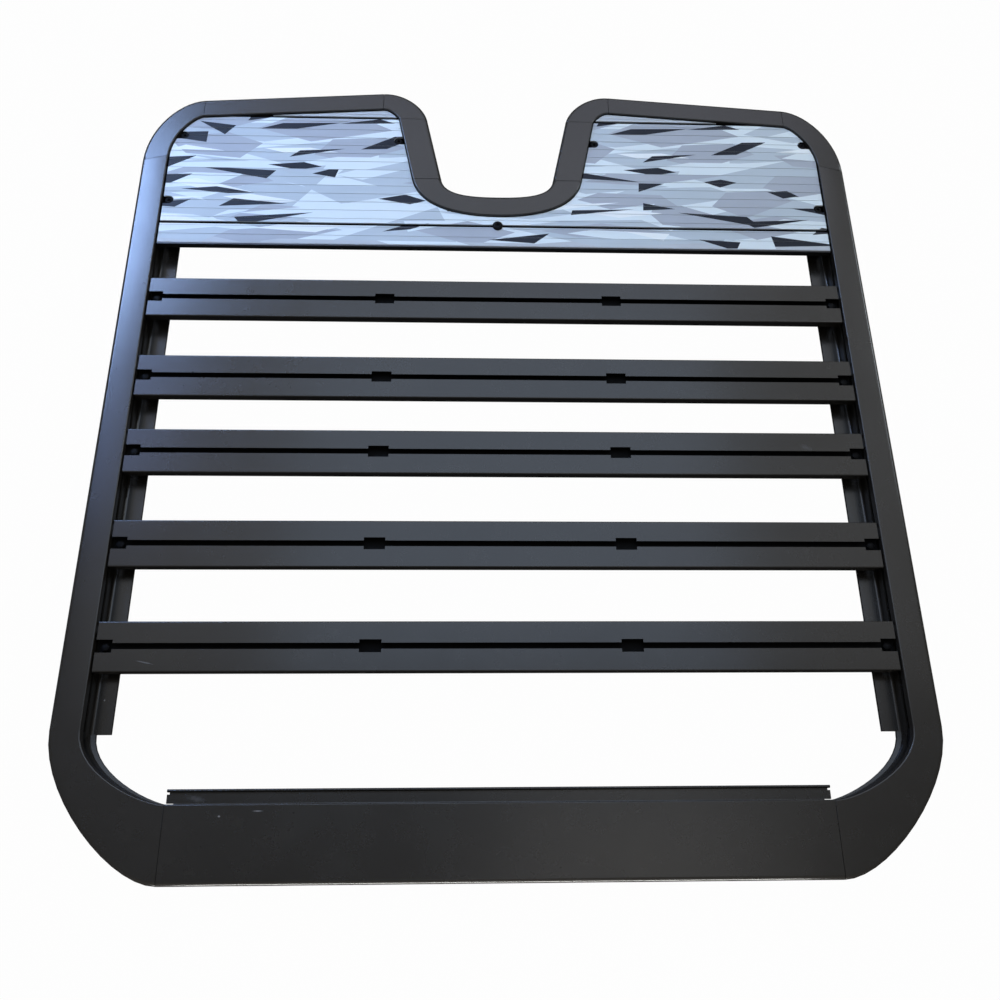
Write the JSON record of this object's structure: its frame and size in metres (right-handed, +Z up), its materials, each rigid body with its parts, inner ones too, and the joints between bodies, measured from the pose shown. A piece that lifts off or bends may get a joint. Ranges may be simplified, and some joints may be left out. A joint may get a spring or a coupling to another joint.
{
  "type": "roof rack",
  "caption": "Flat platform roof rack: low perimeter frame with cast corners, slotted cross slats and a ribbed rear deck cut round an aerial notch.",
  "frame": {"origin": "middle of the footprint, on the face that the rack rests on", "axes": "+X across the vehicle to the right, +Y to the rear end with the notch, +Z up"},
  "size_m": [1.254, 1.355, 0.045],
  "materials": {
    "rail_paint": "satin black powder coat",
    "slat_paint": "satin black powder coat",
    "deck_print": "silver with a printed angular camouflage",
    "trim_black": "black",
    "bolt_black": "black oxide"
  },
  "bodies": {
    "root": {"side_rail_left": "rail_paint", "side_rail_right": "rail_paint", "front_rail": "rail_paint", "front_corner_left": "rail_paint", "front_corner_right": "rail_paint", "rear_corner_left": "rail_paint", "rear_corner_right": "rail_paint", "rear_bar_left": "rail_paint", "rear_bar_right": "rail_paint", "notch_corner_left": "rail_paint", "notch_corner_right": "rail_paint", "notch_side_left": "rail_paint", "notch_side_right": "rail_paint", "notch_bow": "rail_paint", "slat_1": "slat_paint", "slat_2": "slat_paint", "slat_3": "slat_paint", "slat_4": "slat_paint", "slat_5": "slat_paint", "deck_front_plank": "deck_print", "deck_rear_plank_left": "deck_print", "deck_rear_plank_right": "deck_print", "deck_trim": "trim_black", "slat_bolts_left": "bolt_black", "slat_bolts_right": "bolt_black", "deck_bolts_left": "bolt_black", "deck_bolts_right": "bolt_black", "deck_middle_bolt": "bolt_black"}
  },
  "joints": []
}
